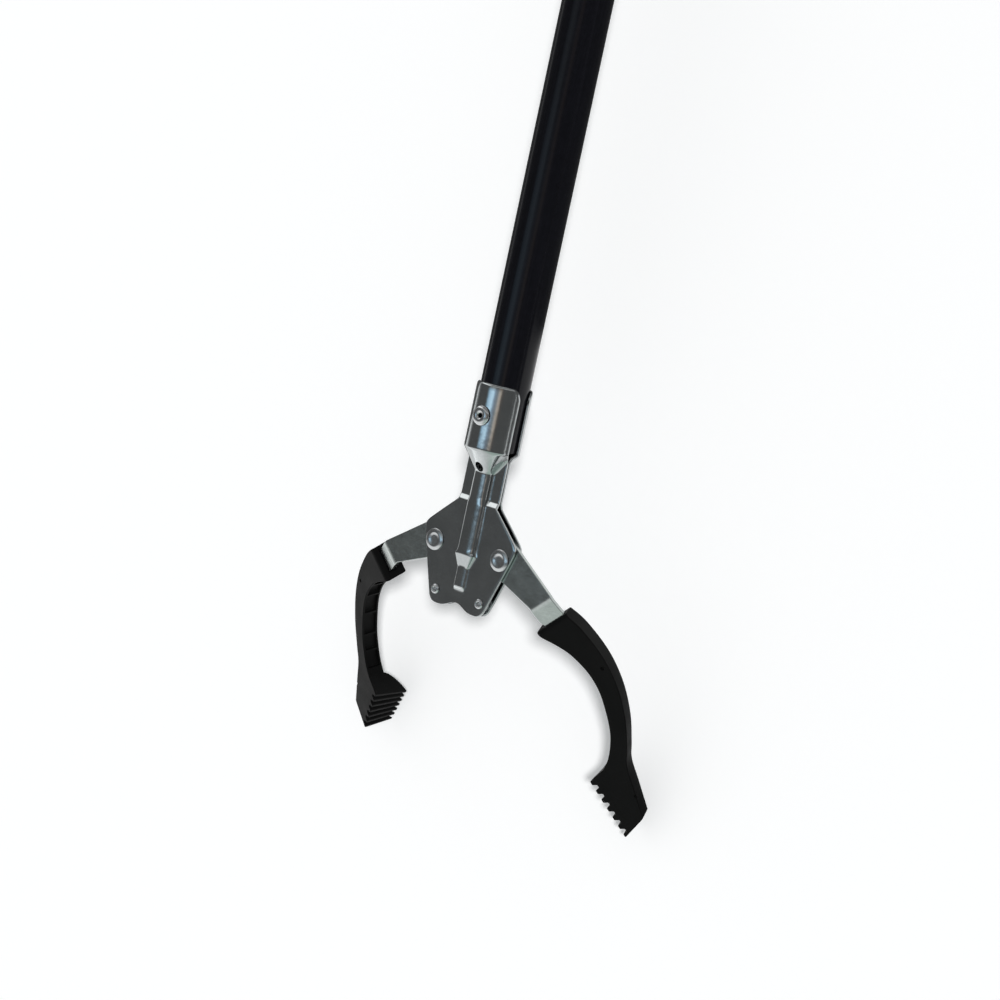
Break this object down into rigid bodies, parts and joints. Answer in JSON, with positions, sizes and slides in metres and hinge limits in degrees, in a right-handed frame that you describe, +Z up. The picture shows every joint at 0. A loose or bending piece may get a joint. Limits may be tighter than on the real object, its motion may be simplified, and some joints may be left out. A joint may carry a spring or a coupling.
{
  "type": "reacher grabber",
  "caption": "Steel-headed reacher grabber: rubber-padded jaws between stamped plates on a black pole, closed by a trigger in a pistol grip.",
  "frame": {"origin": "centre of the bounding box's underside, on the surface that the tool lies on", "axes": "+Y along the pole from the jaws to the handle, +Z up out of the head's front plate, +X across the jaws"},
  "size_m": [0.176, 0.8964, 0.0982],
  "materials": {
    "zinc_plated_steel": "bright zinc plating, satin on flats",
    "plain_steel": "plain drawn steel",
    "black_enamel": "glossy black enamel",
    "black_rubber": "matte moulded rubber",
    "black_plastic": "fine moulded texture",
    "grey_plastic": "satin moulded",
    "pale_plastic": "natural moulded"
  },
  "bodies": {
    "frame": {"front_head_plate": "zinc_plated_steel", "rear_head_plate": "zinc_plated_steel", "front_ferrule_rivet": "zinc_plated_steel", "rear_ferrule_rivet": "zinc_plated_steel", "left_pivot_rivet": "zinc_plated_steel", "right_pivot_rivet": "zinc_plated_steel", "left_eyelet": "zinc_plated_steel", "right_eyelet": "zinc_plated_steel", "left_spacer_sleeve": "plain_steel", "right_spacer_sleeve": "plain_steel", "return_spring": "plain_steel", "trigger_pivot_pin": "plain_steel", "handle_screw_1": "plain_steel", "handle_screw_2": "plain_steel", "handle_screw_3": "plain_steel", "handle_screw_4": "plain_steel", "pole_tube": "black_enamel", "left_handle_shell": "black_plastic", "right_handle_shell": "black_plastic", "front_guide_bush": "pale_plastic", "rear_guide_bush": "pale_plastic"},
    "left_jaw": {"left_jaw_arm": "zinc_plated_steel", "left_jaw_cover": "black_rubber", "left_cover_pin": "plain_steel"},
    "right_jaw": {"right_jaw_arm": "zinc_plated_steel", "right_jaw_cover": "black_rubber", "right_cover_pin": "plain_steel"},
    "rod": {"crosshead": "plain_steel", "rod_clevis": "plain_steel", "clevis_pin": "plain_steel", "pull_rod": "plain_steel", "rod_cross_pin": "plain_steel", "spring_collar": "plain_steel"},
    "trigger": {"trigger_lever": "grey_plastic"}
  },
  "joints": [
    {"name": "trigger_pull", "type": "hinge", "parent": "frame", "child": "trigger", "pos_m": [0, 0.34201, 0.08618], "axis": [1, 0, 0], "range_deg": [0, 25.59], "stiffness_Nm_per_rad": 0.3, "springref_deg": -30.71},
    {"name": "rod_slide", "type": "slide", "parent": "frame", "child": "rod", "axis": [0, 1, 0], "range_m": [0, 0.01], "deforming": ["return_spring"]},
    {"name": "left_jaw_pivot", "type": "hinge", "parent": "frame", "child": "left_jaw", "pos_m": [-0.0188, -0.33619, 0.06418], "axis": [0, 0, 1], "range_deg": [0, 36.4]},
    {"name": "right_jaw_pivot", "type": "hinge", "parent": "frame", "child": "right_jaw", "pos_m": [0.0188, -0.33619, 0.06418], "axis": [0, 0, -1], "range_deg": [0, 36.4]}
  ],
  "couplings": [
    {"joint": "rod_slide", "follows": "trigger_pull", "m_per_rad": 0.022373},
    {"joint": "left_jaw_pivot", "follows": "trigger_pull", "ratio": 1.4221},
    {"joint": "right_jaw_pivot", "follows": "trigger_pull", "ratio": 1.4221}
  ]
}
